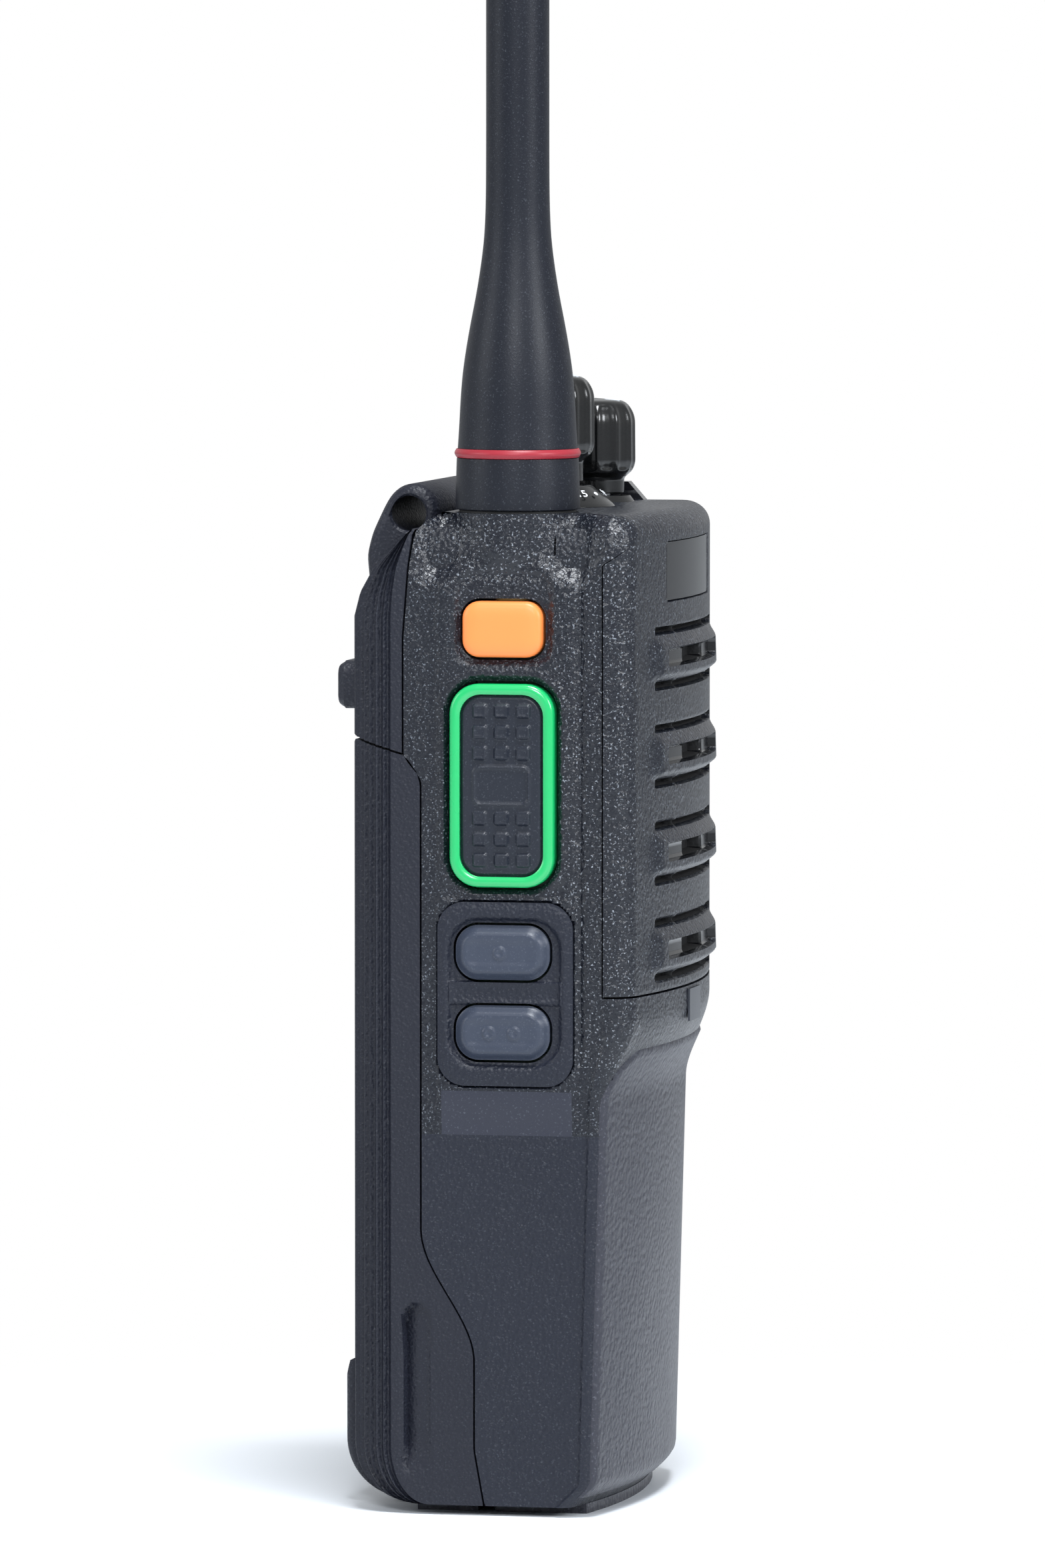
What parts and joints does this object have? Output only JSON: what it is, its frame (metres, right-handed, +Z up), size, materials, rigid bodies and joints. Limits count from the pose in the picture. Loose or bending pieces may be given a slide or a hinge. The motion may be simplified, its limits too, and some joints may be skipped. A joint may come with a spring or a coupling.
{
  "type": "two way radio",
  "caption": "Hand-held two way radio with a whip antenna, rotary channel and volume knobs, side talk and alert buttons, a slatted speaker grille and a latched battery.",
  "frame": {"origin": "centre of the base face that the radio stands on", "axes": "+Z up along the antenna, -Y out of the speaker, +Y out of the battery, -X out of the talk button side"},
  "size_m": [0.0552, 0.0453, 0.2797],
  "materials": {
    "housing_plastic": "coarse moulded grain",
    "grip_rubber": "fine leather grain",
    "key_rubber": "smooth matt",
    "talk_rubber": "smooth matt",
    "nameplate_plastic": "smooth, bare",
    "indicator_plastic": "smooth",
    "brass": "machined",
    "die_cast": "die cast",
    "seal_rubber": "moulded",
    "steel": "plain",
    "board": "solder mask",
    "shield_steel": "tin plated",
    "gold": "gold plated",
    "mesh_fabric": "woven",
    "cone_plastic": "smooth",
    "dial_plastic": "smooth",
    "lens_plastic": "polished",
    "green_plastic": "satin",
    "orange_plastic": "satin",
    "antenna_rubber": "smooth matt",
    "red_plastic": "satin",
    "knob_plastic": "satin moulded",
    "battery_plastic": "fine moulded grain",
    "cell_wrap": "shrink sleeve",
    "latch_plastic": "fine moulded grain"
  },
  "bodies": {
    "radio": {"front_housing": "housing_plastic", "grille_panel": "housing_plastic", "blank_nameplate": "nameplate_plastic", "grip_panel": "grip_rubber", "indicator_window": "indicator_plastic", "rear_cover": "housing_plastic", "clip_inserts": "brass", "base_pad": "grip_rubber", "chassis": "die_cast", "housing_gasket": "seal_rubber", "housing_screws": "steel", "main_board": "board", "rf_shields": "shield_steel", "radio_contacts": "gold", "speaker_mesh": "mesh_fabric", "speaker_frame": "steel", "speaker_cone": "cone_plastic", "speaker_magnet": "steel", "microphone": "shield_steel", "microphone_boot": "seal_rubber", "side_seal": "seal_rubber", "side_board": "board", "side_switches": "cone_plastic", "key_frame": "key_rubber", "antenna_socket": "brass", "socket_nut": "brass", "channel_encoder": "shield_steel", "volume_control": "shield_steel", "channel_dial": "dial_plastic", "volume_dial": "dial_plastic", "status_lens": "lens_plastic", "accessory_port": "cone_plastic", "port_contacts": "gold", "cover_pin": "steel"},
    "port_cover": {"dust_cover": "grip_rubber"},
    "talk_control": {"talk_button": "talk_rubber", "talk_rim": "green_plastic"},
    "alert_control": {"alert_button": "orange_plastic"},
    "upper_key": {"side_upper_key": "key_rubber"},
    "lower_key": {"side_lower_key": "key_rubber"},
    "antenna_carrier": {"antenna_seal": "seal_rubber"},
    "antenna": {"antenna_plug": "brass", "antenna_collar": "antenna_rubber", "colour_ring": "red_plastic", "antenna_core": "steel", "antenna_whip": "antenna_rubber"},
    "channel_selector": {"channel_shaft": "steel", "channel_knob": "knob_plastic"},
    "volume_selector": {"volume_shaft": "steel", "volume_knob": "knob_plastic"},
    "battery": {"battery_case": "battery_plastic", "battery_lid": "battery_plastic", "battery_cells": "cell_wrap", "battery_board": "board", "battery_contacts": "gold", "charging_contacts": "gold", "battery_foot": "grip_rubber", "latch_spring": "steel"},
    "latch": {"battery_latch": "latch_plastic"}
  },
  "joints": [
    {"name": "talk_press", "type": "slide", "parent": "radio", "child": "talk_control", "axis": [1, 0, 0], "range_m": [0, 0.001], "stiffness_N_per_m": 2500},
    {"name": "alert_press", "type": "slide", "parent": "radio", "child": "alert_control", "axis": [1, 0, 0], "range_m": [0, 0.0006], "stiffness_N_per_m": 3000},
    {"name": "upper_key_press", "type": "slide", "parent": "radio", "child": "upper_key", "axis": [1, 0, 0], "range_m": [0, 0.0006], "stiffness_N_per_m": 3000},
    {"name": "lower_key_press", "type": "slide", "parent": "radio", "child": "lower_key", "axis": [1, 0, 0], "range_m": [0, 0.0006], "stiffness_N_per_m": 3000},
    {"name": "antenna_lift", "type": "slide", "parent": "radio", "child": "antenna_carrier", "axis": [0, 0, 1], "range_m": [0, 0.00212]},
    {"name": "antenna_turn", "type": "hinge", "parent": "antenna_carrier", "child": "antenna", "pos_m": [-0.018, 0.0001, 0.1297], "axis": [0, 0, 1], "range_deg": [0, 1080]},
    {"name": "channel_turn", "type": "hinge", "parent": "radio", "child": "channel_selector", "pos_m": [0.001, -0.0007, 0.1294], "axis": [0, 0, 1], "range_deg": [0, 337.5]},
    {"name": "volume_turn", "type": "hinge", "parent": "radio", "child": "volume_selector", "pos_m": [0.017, -0.0029, 0.1294], "axis": [0, 0, 1], "range_deg": [0, 300]},
    {"name": "battery_swing", "type": "hinge", "parent": "radio", "child": "battery", "pos_m": [0, 0.0202, 0.0993], "axis": [1, 0, 0], "range_deg": [0, 30]},
    {"name": "latch_slide", "type": "slide", "parent": "battery", "child": "latch", "axis": [0, 0, 1], "range_m": [0, 0.0012], "stiffness_N_per_m": 1500, "deforming": ["latch_spring"]},
    {"name": "cover_swing", "type": "hinge", "parent": "radio", "child": "port_cover", "pos_m": [0.0259, 0.0066, 0.096], "axis": [0, 0, 1], "range_deg": [0, 95]}
  ],
  "couplings": [
    {"joint": "antenna_lift", "follows": "antenna_turn", "m_per_rad": 0.00011229}
  ]
}
